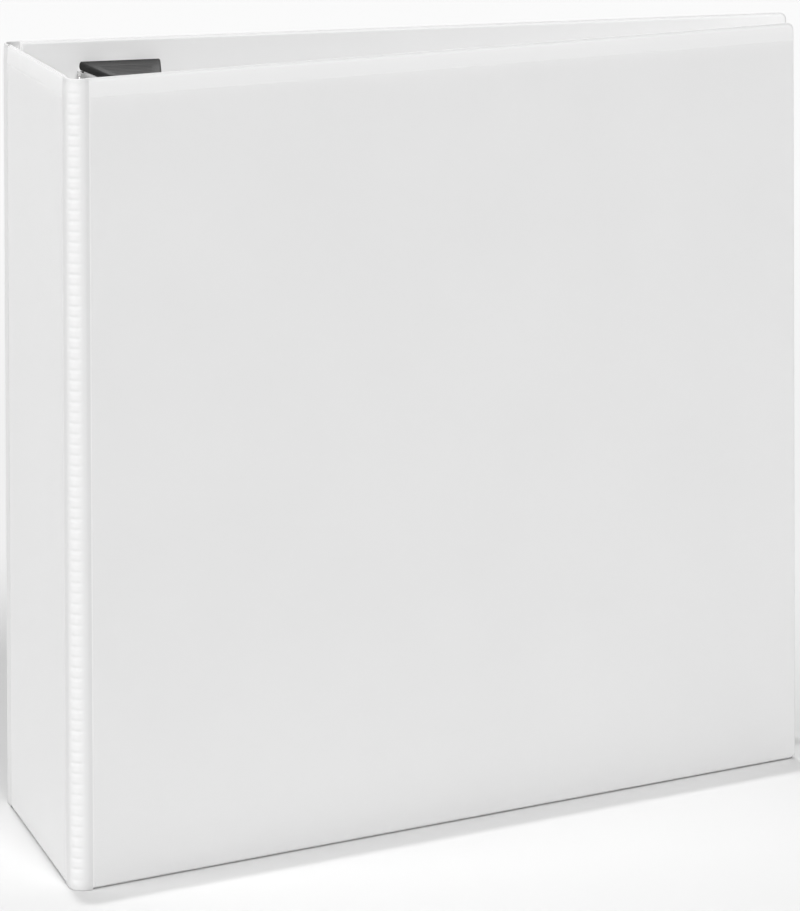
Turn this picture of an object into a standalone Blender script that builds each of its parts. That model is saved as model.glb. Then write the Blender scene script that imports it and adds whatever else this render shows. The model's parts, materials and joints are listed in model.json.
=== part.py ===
"""Ring binder: padded covers with a clear pocket over them, a wide spine and a slanted-D ring mechanism.

The binder stands on its lower edges. +Z is up, the spine is on the -X side, the fore-edges point along
+X, the front cover is on the -Y side and the back cover, which carries the rings, on the +Y side. The
origin is on the floor, at the middle of the spine panel's lower edge. Everything is in metres.
"""

import math

import bmesh
import bpy
from mathutils import Matrix, Vector

MM = 0.001

# Overall shape
HEIGHT = 298 * MM
COVER_DEPTH = 328 * MM
SPINE_WIDTH = 124 * MM
FRONT_LEAN = math.radians(14.6)
BACK_LEAN = math.radians(0.5)

# Layers of a panel, from its outer face inwards
OVERLAY = 0.2 * MM
SKIN = 0.35 * MM
BOARD = 1.8 * MM
LAYER_GAP = 0.12 * MM
SKIN_DEPTH = OVERLAY + LAYER_GAP
BOARD_DEPTH = SKIN_DEPTH + SKIN + LAYER_GAP
LINING_DEPTH = BOARD_DEPTH + BOARD + LAYER_GAP
PANEL = LINING_DEPTH + SKIN
CORNER_RADIUS = 3 * MM
SPINE_FACE_X = -(SKIN_DEPTH + PANEL) / 2

# Clear pocket over the outside, open at its top edge
POCKET_MOUTH = 7 * MM
POCKET_FOOT = 1 * MM
POCKET_HINGE_MARGIN = 0.5 * MM
POCKET_FORE_EDGE_MARGIN = 1 * MM

# Pocket on the lining
LINING_POCKET_START = 84 * MM
LINING_POCKET_MARGIN = 6 * MM
LINING_POCKET_LOW_SIDE = 140 * MM
LINING_POCKET_HIGH_SIDE = 215 * MM

# Welded film that lets each cover fold against the spine
SPINE_REACH = 11 * MM
COVER_REACH = 7.5 * MM
FILM = 0.8 * MM
FILM_DEPTH = 0.3 * MM
FILM_GAP = 0.3 * MM
FILM_RADIUS = 5.5 * MM
FOLD_DEPTH = 1.6 * MM

# Ring mechanism, in its own frame: +X to the spine, +Y off the cover, +Z up, centred on the mechanism
MECHANISM_PLACE = 46 * MM
HOUSING_WIDTH = 32 * MM
HOUSING_LENGTH = 273 * MM
HOUSING_CROWN = 11 * MM
HOUSING_SHOULDER = 7 * MM
HOUSING_SHEET = 0.9 * MM
HOUSING_LIFT = 0.3 * MM
LIP_REACH = 2.5 * MM
RING_SLOT_NEAR = 6.2 * MM
RING_SLOT_FAR = 14.2 * MM
RING_SLOT_LOW = 5.5 * MM
RING_SLOT_WIDTH = 8 * MM

BLADE_PIVOT_X = 14.3 * MM
BLADE_PIVOT_Y = 3.5 * MM
BLADE_SHEET = 1 * MM
BLADE_LENGTH = 260 * MM
BLADE_HEEL = 0.3 * MM
BLADE_MEETING_GAP = 0.15 * MM
BLADE_REST_TILT = math.radians(6.5)

RING_PITCH = 108 * MM
RING_WIRE = 4 * MM
RING_TOP = 90 * MM
RING_ROOT_X = 10.2 * MM
RING_STEM = 12.5 * MM
RING_BOW_X = 20.5 * MM
RING_BOW_Y = 38 * MM
RING_BOW_RADIUS = 19 * MM
RING_POST_X = 15.5 * MM
RING_POST_RADIUS = 8 * MM
RING_ROOT_GAP = 0.3 * MM
RING_TIP_GAP = 0.08 * MM
RING_SIDES = 12

LEVER_PIVOT_Z = 134 * MM
LEVER_PIVOT_Y = 5 * MM
PIN_RADIUS = 1.2 * MM
PIN_HOLE_RADIUS = 1.35 * MM
PIN_OVERHANG = 0.6 * MM
ARM_WIDTH = 12 * MM
ARM_SHEET = 1.2 * MM
ARM_HUB = 2.6 * MM
ARM_SHOULDER = 4 * MM
ARM_FOOT = -4.5 * MM
ARM_FOOT_INNER = 2 * MM
ARM_FOOT_OUTER = 1 * MM
ARM_HEEL = -1.8 * MM
TANG_TOP = 20 * MM
TONGUE_WIDTH = 4 * MM
TONGUE_SHEET = 0.8 * MM
TONGUE_REACH = 4.9 * MM
TONGUE_ROOT = 1.5 * MM
GRIP_LENGTH = 30 * MM
GRIP_BASE_WIDTH = 33 * MM
GRIP_TIP_WIDTH = 20 * MM
GRIP_TIP_RADIUS = 4 * MM
GRIP_BASE_INNER = 3.4 * MM
GRIP_BASE_OUTER = 7 * MM
GRIP_TIP_INNER = 2.05 * MM
GRIP_TIP_OUTER = 4.45 * MM
GRIP_SOCKET_CLEARANCE = 0.3 * MM

RIVET_PITCH = 108 * MM
RIVET_SHANK = 2.2 * MM
RIVET_HOLE = 2.6 * MM
RIVET_HEAD = 5 * MM
RIVET_HEAD_RISE = 0.8 * MM
RIVET_HEAD_FLAT = 0.7
RIVET_HEAD_DOME = 0.8
RIVET_CROWN_HEAD = 3.6 * MM
RIVET_NOTCH = 3.4 * MM

WHITE = (0.80, 0.80, 0.80)
CLEAR = (0.86, 0.86, 0.87)
GREY_CARD = (0.42, 0.40, 0.37)
NICKEL = (0.72, 0.72, 0.71)
STEEL = (0.55, 0.56, 0.57)
BLACK = (0.015, 0.015, 0.016)


def clear_scene():
    for item in list(bpy.data.objects):
        bpy.data.objects.remove(item, do_unlink=True)


def make_material(name, color, roughness, metallic=0.0, alpha=1.0):
    material = bpy.data.materials.new(name)
    material.use_nodes = True
    shader = material.node_tree.nodes["Principled BSDF"]
    shader.inputs["Base Color"].default_value = (*color, 1.0)
    shader.inputs["Roughness"].default_value = roughness
    shader.inputs["Metallic"].default_value = metallic
    shader.inputs["Alpha"].default_value = alpha
    return material


def add_empty(name, parent, location, turn=0.0):
    empty = bpy.data.objects.new(name, None)
    bpy.context.collection.objects.link(empty)
    empty.parent = parent
    empty.location = location
    empty.rotation_euler = (0, 0, turn)
    return empty


def add_object(name, mesh, parent, location, finish=None):
    piece = bpy.data.objects.new(name, mesh)
    bpy.context.collection.objects.link(piece)
    piece.parent = parent
    piece.location = location
    if finish:
        mesh.materials.append(make_material(name, *finish))
    return piece


def add_piece(name, bm, parent, location, finish, smooth_under=None):
    bmesh.ops.recalc_face_normals(bm, faces=bm.faces)
    mesh = bpy.data.meshes.new(name)
    bm.to_mesh(mesh)
    bm.free()
    if smooth_under:
        mesh.shade_smooth()
        mesh.set_sharp_from_angle(angle=smooth_under)
    return add_object(name, mesh, parent, location, finish)


def add_cutter(name, bm, parent, location):
    cutter = add_piece(name, bm, parent, location, None)
    cutter.hide_render = True
    cutter.display_type = "WIRE"
    return cutter


def combine(piece, other, operation):
    boolean = piece.modifiers.new(other.name, "BOOLEAN")
    boolean.operation = operation
    boolean.solver = "EXACT"
    boolean.object = other


def extruded(outline, axis, low, high):
    """A closed solid: a flat outline slid from low to high along axis 0, 1 or 2."""
    bm = bmesh.new()
    rim = []
    for point in outline:
        place = list(point)
        place.insert(axis, low)
        rim.append(bm.verts.new(place))
    face = bm.faces.new(rim)
    grown = bmesh.ops.extrude_face_region(bm, geom=[face])
    moved = [item for item in grown["geom"] if isinstance(item, bmesh.types.BMVert)]
    step = Vector((0, 0, 0))
    step[axis] = high - low
    bmesh.ops.translate(bm, verts=moved, vec=step)
    return bm


def cylinder(radius, axis, low, high, sides=24):
    bm = bmesh.new()
    bmesh.ops.create_cone(
        bm, cap_ends=True, segments=sides, radius1=radius, radius2=radius, depth=high - low
    )
    turns = {0: Matrix.Rotation(math.pi / 2, 4, "Y"), 1: Matrix.Rotation(math.pi / 2, 4, "X")}
    bmesh.ops.transform(bm, matrix=turns.get(axis, Matrix()), verts=bm.verts)
    step = Vector((0, 0, 0))
    step[axis] = (low + high) / 2
    bmesh.ops.translate(bm, verts=bm.verts, vec=step)
    return bm


def arc(centre, radius, start, end, steps):
    """Points along an arc, both ends included; angles in radians."""
    points = []
    for k in range(steps + 1):
        angle = start + (end - start) * k / steps
        points.append((centre[0] + radius * math.cos(angle), centre[1] + radius * math.sin(angle)))
    return points


def rectangle(left, right, low, high):
    return [(left, low), (right, low), (right, high), (left, high)]


def rounded_end(left, right, low, high, radius):
    """A rectangle whose two corners on its right side are rounded."""
    inner = right - radius
    lower = arc((inner, low + radius), radius, -math.pi / 2, 0, 6)
    upper = arc((inner, high - radius), radius, 0, math.pi / 2, 6)
    return [(left, low), *lower, *upper, (left, high)]


class Panel:
    """One stiff panel: X runs along it, the outer face is y = 0 and inward says which way is inside."""

    def __init__(self, name, carrier, origin, inward, start, end, corner_radius):
        self.name = name
        self.carrier = carrier
        self.origin = origin
        self.inward = inward
        self.start = start
        self.end = end
        self.corner_radius = corner_radius

    def outline(self, inset):
        box = (self.start + inset, self.end - inset, inset, HEIGHT - inset)
        if self.corner_radius > inset:
            return rounded_end(*box, self.corner_radius - inset)
        return rectangle(*box)

    def layer(self, outline, depth, thickness):
        near, far = sorted((self.inward * depth, self.inward * (depth + thickness)))
        return extruded(outline, 1, near, far)

    def add(self, part, bm, finish):
        return add_piece(f"{self.name}_{part}", bm, self.carrier, self.origin, finish)


def outer_skin(panel):
    """A shallow tray: the outer sheet with its edges turned in round the board."""
    bm = panel.layer(panel.outline(0), SKIN_DEPTH, PANEL - SKIN_DEPTH)
    bmesh.ops.recalc_face_normals(bm, faces=bm.faces)
    inner = max(bm.faces, key=lambda face: panel.inward * face.normal.y)
    bmesh.ops.inset_region(bm, faces=[inner], thickness=SKIN, use_even_offset=True)
    floor = bmesh.ops.extrude_discrete_faces(bm, faces=[inner])["faces"][0]
    sink = -panel.inward * (PANEL - SKIN_DEPTH - SKIN)
    bmesh.ops.translate(bm, verts=floor.verts, vec=(0, sink, 0))
    return bm


def add_panel(panel, overlay_outline):
    """The four sheets that every panel has: overlay, outer skin, board and lining."""
    inside = SKIN + LAYER_GAP
    pieces = [
        panel.add("clear_overlay", panel.layer(overlay_outline, 0, OVERLAY), (CLEAR, 0.2, 0.0, 0.25)),
        panel.add("outer_skin", outer_skin(panel), (WHITE, 0.45)),
        panel.add("board", panel.layer(panel.outline(inside), BOARD_DEPTH, BOARD), (GREY_CARD, 0.9)),
        panel.add("lining", panel.layer(panel.outline(inside), LINING_DEPTH, SKIN), (WHITE, 0.5)),
    ]
    return pieces


def cover_overlay_outline(panel):
    left = panel.start + POCKET_HINGE_MARGIN
    right = panel.end - POCKET_FORE_EDGE_MARGIN
    return rectangle(left, right, POCKET_FOOT, HEIGHT - POCKET_MOUTH)


def spine_overlay_outline(panel):
    left = panel.start + POCKET_HINGE_MARGIN
    right = panel.end - POCKET_HINGE_MARGIN
    return rectangle(left, right, POCKET_FOOT, HEIGHT - POCKET_MOUTH)


def add_lining_pocket(panel):
    """A sheet welded to the lining on three sides, with a slanting mouth."""
    left = LINING_POCKET_START
    right = panel.end - LINING_POCKET_MARGIN
    foot = LINING_POCKET_MARGIN
    outline = [
        (left, foot),
        (right, foot),
        (right, LINING_POCKET_HIGH_SIDE),
        (left, LINING_POCKET_LOW_SIDE),
    ]
    sheet = panel.layer(outline, PANEL + LAYER_GAP, OVERLAY)
    panel.add("lining_pocket", sheet, (CLEAR, 0.25, 0.0, 0.5))


def corner_reach(radius, lean):
    """How far from a spine corner an arc of this radius meets the spine's face and the cover's face."""
    return radius / math.tan((math.pi / 2 - lean) / 2)


def fold_film(side, lean):
    """The welded film round one spine corner, in plan: spine flat, bend, cover flat. side is -1 or +1."""
    middle = FILM_DEPTH + FILM / 2
    bend = FILM_RADIUS - middle
    steps = 16
    corner = side * SPINE_WIDTH / 2
    centre = Vector((SPINE_FACE_X + FILM_RADIUS, corner - side * corner_reach(FILM_RADIUS, lean)))
    along_cover = Vector((math.cos(lean), -side * math.sin(lean)))
    into_cover = Vector((-math.sin(lean), -side * math.cos(lean)))
    turn = math.pi / 2 + lean
    path = [Vector((SPINE_FACE_X + middle, corner - side * (SPINE_REACH - FILM_GAP)))]
    for k in range(steps + 1):
        angle = turn * k / steps
        path.append(centre + bend * Vector((-math.cos(angle), side * math.sin(angle))))
    start = Vector((SPINE_FACE_X, corner))
    path.append(start + (COVER_REACH - FILM_GAP) * along_cover + middle * into_cover)
    return path


def thickened(path, thickness):
    """The outline of a strip of even thickness that follows an open path."""
    left = []
    right = []
    for k, point in enumerate(path):
        before = path[max(k - 1, 0)]
        after = path[min(k + 1, len(path) - 1)]
        along = (after - before).normalized()
        across = Vector((-along.y, along.x)) * thickness / 2
        left.append(point + across)
        right.append(point - across)
    return [tuple(point) for point in left + right[::-1]]


def add_covers():
    spine = Panel(
        "spine",
        add_empty("spine_frame", None, (SPINE_FACE_X, 0, 0), math.pi / 2),
        (0, 0, 0),
        -1,
        SPINE_REACH - SPINE_WIDTH / 2,
        SPINE_WIDTH / 2 - SPINE_REACH,
        0,
    )
    add_panel(spine, spine_overlay_outline(spine))
    covers = {}
    for name, side, lean in (("front", -1, FRONT_LEAN), ("back", 1, BACK_LEAN)):
        reach = corner_reach(FOLD_DEPTH, lean)
        fold = (SPINE_FACE_X + FOLD_DEPTH, side * (SPINE_WIDTH / 2 - reach), 0)
        axis = add_empty(f"{name}_cover_axis", None, fold, -side * lean)
        origin = (-reach, side * FOLD_DEPTH, 0)
        cover = Panel(name, axis, origin, -side, COVER_REACH, COVER_DEPTH, CORNER_RADIUS)
        cover.sheets = add_panel(cover, cover_overlay_outline(cover))
        add_lining_pocket(cover)
        covers[name] = cover
        strip = extruded(thickened(fold_film(side, lean), FILM), 2, LAYER_GAP, HEIGHT - LAYER_GAP)
        add_piece(f"{name}_hinge_film", strip, None, (0, 0, 0), (WHITE, 0.4), math.radians(30))
    return covers


def housing_section():
    """Half-round nickel channel with turned-in lips, as an outline in X and Y."""
    half = HOUSING_WIDTH / 2
    rise = HOUSING_CROWN - HOUSING_SHOULDER
    radius = (half * half + rise * rise) / (2 * rise)
    centre = (0, HOUSING_CROWN - radius)
    sweep = math.asin(half / radius)
    up = math.pi / 2
    inner_half = half - HOUSING_SHEET
    inner_radius = radius - HOUSING_SHEET
    inner_sweep = math.asin(inner_half / inner_radius)
    outer = arc(centre, radius, up - sweep, up + sweep, 14)
    inner = arc(centre, inner_radius, up + inner_sweep, up - inner_sweep, 14)
    lip_top = HOUSING_LIFT + HOUSING_SHEET
    lip_edge = half - LIP_REACH
    return [
        (half, HOUSING_LIFT),
        *outer,
        (-half, HOUSING_LIFT),
        (-lip_edge, HOUSING_LIFT),
        (-lip_edge, lip_top),
        (-inner_half, lip_top),
        *inner,
        (inner_half, lip_top),
        (lip_edge, lip_top),
        (lip_edge, HOUSING_LIFT),
    ]


def add_housing(frame):
    half = HOUSING_LENGTH / 2
    body = extruded(housing_section(), 2, -half, half)
    housing = add_piece("ring_housing", body, frame, (0, 0, 0), (NICKEL, 0.2, 1.0), math.radians(30))
    reach = RING_SLOT_WIDTH / 2
    for k in (-1, 0, 1):
        for side in (-1, 1):
            left, right = sorted((side * RING_SLOT_NEAR, side * RING_SLOT_FAR))
            window = rectangle(left, right, RING_SLOT_LOW, HOUSING_CROWN + MM)
            box = extruded(window, 2, -reach, reach)
            cutter = add_cutter(f"ring_slot_{k}_{side}", box, frame, (0, 0, k * RING_PITCH))
            combine(housing, cutter, "DIFFERENCE")
    for side in (-1, 1):
        hole = cylinder(PIN_HOLE_RADIUS, 0, -HOUSING_WIDTH, HOUSING_WIDTH)
        place = (0, LEVER_PIVOT_Y, side * LEVER_PIVOT_Z)
        combine(housing, add_cutter(f"pin_hole_{side}", hole, frame, place), "DIFFERENCE")
    return housing


def blade_half(side):
    """One spring blade from its pivot edge to the middle line, lying flat; side +1 is the spine side."""
    edge = BLADE_PIVOT_X - BLADE_MEETING_GAP
    left, right = sorted((-side * edge, side * BLADE_HEEL))
    half = BLADE_SHEET / 2
    return extruded(rectangle(left, right, -half, half), 2, -BLADE_LENGTH / 2, BLADE_LENGTH / 2)


def rounded_path(corners, steps=7):
    """Points along straight lines between corners (x, y, radius), with an arc at each inner corner."""
    points = [Vector(corners[0][:2])]
    for before, here, after in zip(corners, corners[1:], corners[2:]):
        corner = Vector(here[:2])
        back = (Vector(before[:2]) - corner).normalized()
        onward = (Vector(after[:2]) - corner).normalized()
        half = back.angle(onward) / 2
        reach = here[2] / math.tan(half)
        centre = corner + (back + onward).normalized() * here[2] / math.sin(half)
        first = corner + back * reach - centre
        turn = first.angle_signed(corner + onward * reach - centre)
        for k in range(steps + 1):
            points.append(centre + Matrix.Rotation(-turn * k / steps, 2) @ first)
    points.append(Vector(corners[-1][:2]))
    return points


def ring_path(side):
    """Centre line of a ring half: a bowed half on the spine side, a straight post on the other."""
    root = BLADE_PIVOT_Y + RING_ROOT_GAP
    if side > 0:
        shape = [
            (RING_ROOT_X, root, 0),
            (RING_ROOT_X, RING_STEM, RING_POST_RADIUS),
            (RING_BOW_X, RING_BOW_Y, RING_BOW_RADIUS),
            (RING_BOW_X, RING_TOP, RING_BOW_RADIUS),
            (RING_TIP_GAP, RING_TOP, 0),
        ]
    else:
        shape = [
            (-RING_ROOT_X, root, 0),
            (-RING_ROOT_X, RING_STEM, RING_POST_RADIUS),
            (-RING_POST_X, RING_TOP, RING_POST_RADIUS),
            (-RING_TIP_GAP, RING_TOP, 0),
        ]
    return rounded_path(shape)


def wire(path, diameter):
    """A round rod along a path in the X-Y plane, closed at both ends."""
    bm = bmesh.new()
    loops = []
    for k, point in enumerate(path):
        back = path[k] - path[k - 1] if k else path[1] - path[0]
        onward = path[k + 1] - path[k] if k + 1 < len(path) else back
        along = (back.normalized() + onward.normalized()).normalized()
        across = Vector((-along.y, along.x, 0))
        loop = []
        for n in range(RING_SIDES):
            angle = 2 * math.pi * n / RING_SIDES
            offset = across * math.cos(angle) + Vector((0, 0, 1)) * math.sin(angle)
            loop.append(bm.verts.new(point.to_3d() + offset * diameter / 2))
        loops.append([bm.edges.new((loop[n - 1], loop[n])) for n in range(RING_SIDES)])
    for first, second in zip(loops, loops[1:]):
        bmesh.ops.bridge_loops(bm, edges=first + second)
    bmesh.ops.holes_fill(bm, edges=loops[0] + loops[-1], sides=RING_SIDES)
    return bm


def add_blades(frame):
    for name, side in (("spine_side", 1), ("fore_edge_side", -1)):
        pivot = (side * BLADE_PIVOT_X, BLADE_PIVOT_Y, 0)
        axis = add_empty(f"{name}_blade_axis", frame, pivot)
        blade = add_piece(f"{name}_blade", blade_half(side), axis, (0, 0, 0), (STEEL, 0.35, 1.0))
        blade.rotation_euler = (0, 0, side * BLADE_REST_TILT)
        for k in (-1, 1):
            post = cylinder(RIVET_NOTCH, 1, -HOUSING_CROWN, HOUSING_CROWN)
            place = (0, BLADE_PIVOT_Y, k * RIVET_PITCH / 2)
            cutter = add_cutter(f"{name}_notch_{k}", post, frame, place)
            combine(blade, cutter, "DIFFERENCE")
        for label, k in (("lower", -1), ("middle", 0), ("upper", 1)):
            rod = wire(ring_path(side), RING_WIRE)
            place = (-pivot[0], -pivot[1], k * RING_PITCH)
            add_piece(f"{label}_ring_{name}", rod, axis, place, (NICKEL, 0.15, 1.0), math.radians(40))


def between(low, high, part):
    return low + (high - low) * part


def grip_solid(side):
    """Plastic thumb grip: a tapering tab, wide and thick at its base, leaning a little inwards."""
    half_base = GRIP_BASE_WIDTH / 2
    half_tip = GRIP_TIP_WIDTH / 2
    inner = half_tip - GRIP_TIP_RADIUS
    height = GRIP_LENGTH - GRIP_TIP_RADIUS
    right = arc((inner, height), GRIP_TIP_RADIUS, 0, math.pi / 2, 6)
    left = arc((-inner, height), GRIP_TIP_RADIUS, math.pi / 2, math.pi, 6)
    bm = extruded([(half_base, 0), *right, *left, (-half_base, 0)], 2, 0, 1)
    for vertex in bm.verts:
        part = vertex.co.y / GRIP_LENGTH
        inner_face = between(GRIP_BASE_INNER, GRIP_TIP_INNER, part)
        outer_face = between(GRIP_BASE_OUTER, GRIP_TIP_OUTER, part)
        vertex.co.z = side * between(inner_face, outer_face, vertex.co.z)
    return bm


def tang_middle(height):
    part = height / GRIP_LENGTH
    base = (GRIP_BASE_INNER + GRIP_BASE_OUTER) / 2
    tip = (GRIP_TIP_INNER + GRIP_TIP_OUTER) / 2
    return between(base, tip, part)


def arm_outline(side):
    """Side view of the lever's steel arm round its pin, as (y, z) points."""
    half = ARM_SHEET / 2
    hub = arc((0, 0), ARM_HUB, math.radians(60), math.radians(180), 8)
    outline = [
        (ARM_FOOT, -ARM_FOOT_INNER),
        (ARM_FOOT, ARM_FOOT_OUTER),
        (ARM_HEEL, tang_middle(0) + half),
        (0, tang_middle(0) + half),
        (TANG_TOP, tang_middle(TANG_TOP) + half),
        (TANG_TOP, tang_middle(TANG_TOP) - half),
        (ARM_SHOULDER, tang_middle(ARM_SHOULDER) - half),
    ]
    outline += [(y, z) for z, y in hub]
    return [(y, side * z) for y, z in outline]


def add_levers(frame):
    for name, side in (("top", 1), ("bottom", -1)):
        pivot = (0, LEVER_PIVOT_Y, side * LEVER_PIVOT_Z)
        axis = add_empty(f"{name}_lever_axis", frame, pivot)
        half = ARM_WIDTH / 2
        arm_body = extruded(arm_outline(side), 0, -half, half)
        arm = add_piece(f"{name}_lever_arm", arm_body, axis, (0, 0, 0), (STEEL, 0.4, 1.0))
        low, high = sorted((-side * TONGUE_REACH, -side * TONGUE_ROOT))
        tongue_outline = rectangle(ARM_FOOT, ARM_FOOT + TONGUE_SHEET, low, high)
        tongue_body = extruded(tongue_outline, 0, -TONGUE_WIDTH / 2, TONGUE_WIDTH / 2)
        combine(arm, add_cutter(f"{name}_tongue", tongue_body, axis, (0, 0, 0)), "UNION")
        hole = cylinder(PIN_HOLE_RADIUS, 0, -ARM_WIDTH, ARM_WIDTH)
        combine(arm, add_cutter(f"{name}_arm_hole", hole, axis, (0, 0, 0)), "DIFFERENCE")
        grip = add_piece(f"{name}_lever_grip", grip_solid(side), axis, (0, 0, 0), (BLACK, 0.45))
        combine(grip, add_socket(name, side, axis), "DIFFERENCE")
        reach = HOUSING_WIDTH / 2 + PIN_OVERHANG
        pin = cylinder(PIN_RADIUS, 0, -reach, reach)
        add_piece(f"{name}_lever_pin", pin, frame, pivot, (NICKEL, 0.25, 1.0), math.radians(40))


def add_socket(name, side, axis):
    """The hollow in a grip that takes the arm's tang, open at the grip's base."""
    half = ARM_SHEET / 2 + GRIP_SOCKET_CLEARANCE
    top = TANG_TOP + GRIP_SOCKET_CLEARANCE
    base = -MM
    throat = ARM_SHOULDER + GRIP_SOCKET_CLEARANCE
    outline = [
        (base, side * (tang_middle(base) + half)),
        (top, side * (tang_middle(top) + half)),
        (top, side * (tang_middle(top) - half)),
        (throat, side * (tang_middle(throat) - half)),
        (throat, 0),
        (base, 0),
    ]
    half_width = ARM_WIDTH / 2 + GRIP_SOCKET_CLEARANCE
    return add_cutter(f"{name}_socket", extruded(outline, 0, -half_width, half_width), axis, (0, 0, 0))


def rivet_solid():
    """Turned rivet: head outside the back cover, shank through it, closing head on the crown."""
    outside = -PANEL - LAYER_GAP
    crown = HOUSING_CROWN + LAYER_GAP
    profile = [
        (0, outside - RIVET_HEAD_RISE),
        (RIVET_HEAD * RIVET_HEAD_FLAT, outside - RIVET_HEAD_RISE * RIVET_HEAD_DOME),
        (RIVET_HEAD, outside),
        (RIVET_SHANK, outside),
        (RIVET_SHANK, crown),
        (RIVET_CROWN_HEAD, crown),
        (RIVET_CROWN_HEAD * RIVET_HEAD_FLAT, crown + RIVET_HEAD_RISE),
        (0, crown + RIVET_HEAD_RISE),
    ]
    bm = bmesh.new()
    chain = [bm.verts.new((radius, height, 0)) for radius, height in profile]
    edges = [bm.edges.new(pair) for pair in zip(chain, chain[1:])]
    bmesh.ops.spin(
        bm, geom=chain + edges, cent=(0, 0, 0), axis=(0, 1, 0), angle=2 * math.pi, steps=24,
        use_merge=True,
    )
    bmesh.ops.remove_doubles(bm, verts=bm.verts, dist=0.01 * MM)
    return bm


def add_rivets(frame, housing, sheets):
    for label, k in (("lower", -1), ("upper", 1)):
        place = (0, 0, k * RIVET_PITCH / 2)
        rivet = rivet_solid()
        add_piece(f"{label}_rivet", rivet, frame, place, (NICKEL, 0.2, 1.0), math.radians(30))
        hole = cylinder(RIVET_HOLE, 1, -2 * PANEL, 2 * HOUSING_CROWN)
        cutter = add_cutter(f"{label}_rivet_hole", hole, frame, place)
        for piece in [housing, *sheets]:
            combine(piece, cutter, "DIFFERENCE")


def add_mechanism(back):
    across = back.origin[0] + MECHANISM_PLACE
    face = back.origin[1] - PANEL
    frame = add_empty("ring_frame", back.carrier, (across, face, HEIGHT / 2), math.pi)
    housing = add_housing(frame)
    add_blades(frame)
    add_levers(frame)
    add_rivets(frame, housing, back.sheets)


def main():
    clear_scene()
    covers = add_covers()
    add_mechanism(covers["back"])


main()
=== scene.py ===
"""Looks of the ring binder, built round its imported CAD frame.

Everything is in metres and in the frame's axes: +Z up, the spine towards -X, the front cover towards -Y
and the back cover, which carries the rings, towards +Y. Places are read from the frame. The values below
are the details that the CAD solids leave out: welds, rounded edges, folds, textures and light.
"""

import json
import math

import bmesh
import bpy
from mathutils import Euler, Matrix, Vector, noise


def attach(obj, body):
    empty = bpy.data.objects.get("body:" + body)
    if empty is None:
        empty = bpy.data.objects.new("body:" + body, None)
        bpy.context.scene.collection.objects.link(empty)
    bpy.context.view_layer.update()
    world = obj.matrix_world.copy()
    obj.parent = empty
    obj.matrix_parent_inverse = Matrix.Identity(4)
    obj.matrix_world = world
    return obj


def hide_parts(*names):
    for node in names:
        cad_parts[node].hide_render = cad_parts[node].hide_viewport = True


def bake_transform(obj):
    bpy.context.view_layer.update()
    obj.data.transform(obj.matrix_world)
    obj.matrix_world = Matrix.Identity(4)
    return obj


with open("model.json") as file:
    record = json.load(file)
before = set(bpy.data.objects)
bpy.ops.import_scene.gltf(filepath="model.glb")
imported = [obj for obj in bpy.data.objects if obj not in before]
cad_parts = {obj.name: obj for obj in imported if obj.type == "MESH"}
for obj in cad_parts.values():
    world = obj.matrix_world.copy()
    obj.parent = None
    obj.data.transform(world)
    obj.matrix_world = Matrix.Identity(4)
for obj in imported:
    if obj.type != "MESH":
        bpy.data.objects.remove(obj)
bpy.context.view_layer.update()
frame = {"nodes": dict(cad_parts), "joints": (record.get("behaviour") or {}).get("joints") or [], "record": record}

MM = 0.001
UP = Vector((0, 0, 1))
MOUNTS = {mount["name"]: mount for mount in frame["record"]["mounts"]}
SHARP_ANGLE = 40

# Vinyl panels
SHEET = 0.35 * MM
BEAD_HALF = 0.4 * MM
BEAD_WIDTH = 0.4 * MM
BEAD_LIP = 0.03 * MM
EDGE_ROUND = 0.8 * MM
EDGE_STEPS = 7
INNER_EDGE_GAP = 0.1 * MM
SHOULDER = 0.35 * MM
SHOULDER_REACH = 7 * MM
FLAT_LOOPS = (8.4, 7.2, 6.2, 5.2, 4.3, 3.5, 2.7, 2.0, 1.5)
SHOULDER_STEPS = (16, 12, 10, 9, 8, 7.2, 6.4, 5.6, 4.8, 4.0)
SHEET_GAP = 0.01 * MM
HINGE_CORNER = 0.6 * MM
FORE_CORNER = 3 * MM
LEAST_RADIUS = 0.3 * MM
LEAST_STEP = 0.05 * MM
CORNER_STEPS = 8
BOARD_INSET = 3 * MM
RIM_FADE = 2 * MM
BOARD_EDGE = 0.15 * MM

# Clear pocket over each panel
FILM = 0.2 * MM
FILM_GAP = 0.05 * MM
WELD_WIDTH = 0.45 * MM
WELD_DEPTH = 0.035 * MM
FORE_EDGE_WELD = 5 * MM
FOOT_WELD = 1.6 * MM
HINGE_WELD = 1.2 * MM
HINGE_CLEARANCE = 1.5 * MM
FILM_WAVE = 0.07 * MM
FILM_WAVE_SIZE = 55 * MM
FILM_FREE_FROM = 6 * MM
FILM_FREE_REACH = 25 * MM
FILM_STEP = 4 * MM
MOUTH_LIFT = 0.10 * MM
MOUTH_LIFT_REACH = 5 * MM
MOUTH_FADE = 2 * MM
BORDER_STEPS = (0, 0.12, 0.3, 0.6, 0.9, 1.15, 1.4, 1.65, 1.9, 2.2)
BORDER_STEPS += (2.6, 3.0, 3.4, 3.8, 4.2, 4.6, 5, 5.5, 6.5, 9)

# Welded film at each spine corner
HINGE_RADIUS = 5.5 * MM
HINGE_DEPTH = 0.3 * MM
HINGE_STEP = 0.4 * MM
HINGE_ROW = 0.45 * MM
HINGE_END_ROWS = (0, 0.04, 0.12, 0.25, 0.4)
HINGE_LAP = 1.05 * MM
LAP_GAP = 0.03 * MM
LAP_EDGE = 0.04 * MM
HINGE_RIDGE = 0.09 * MM
HINGE_RIDGE_PLACE = 5.2 * MM
HINGE_RIDGE_WIDTH = 0.7 * MM
RIB_PITCH = 3.9 * MM
RIB_REACH = 4.2 * MM
RIB_DEPTH = 0.07 * MM
DENT_REACH = 2.0 * MM
DENT_DEPTH = 0.14 * MM

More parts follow.
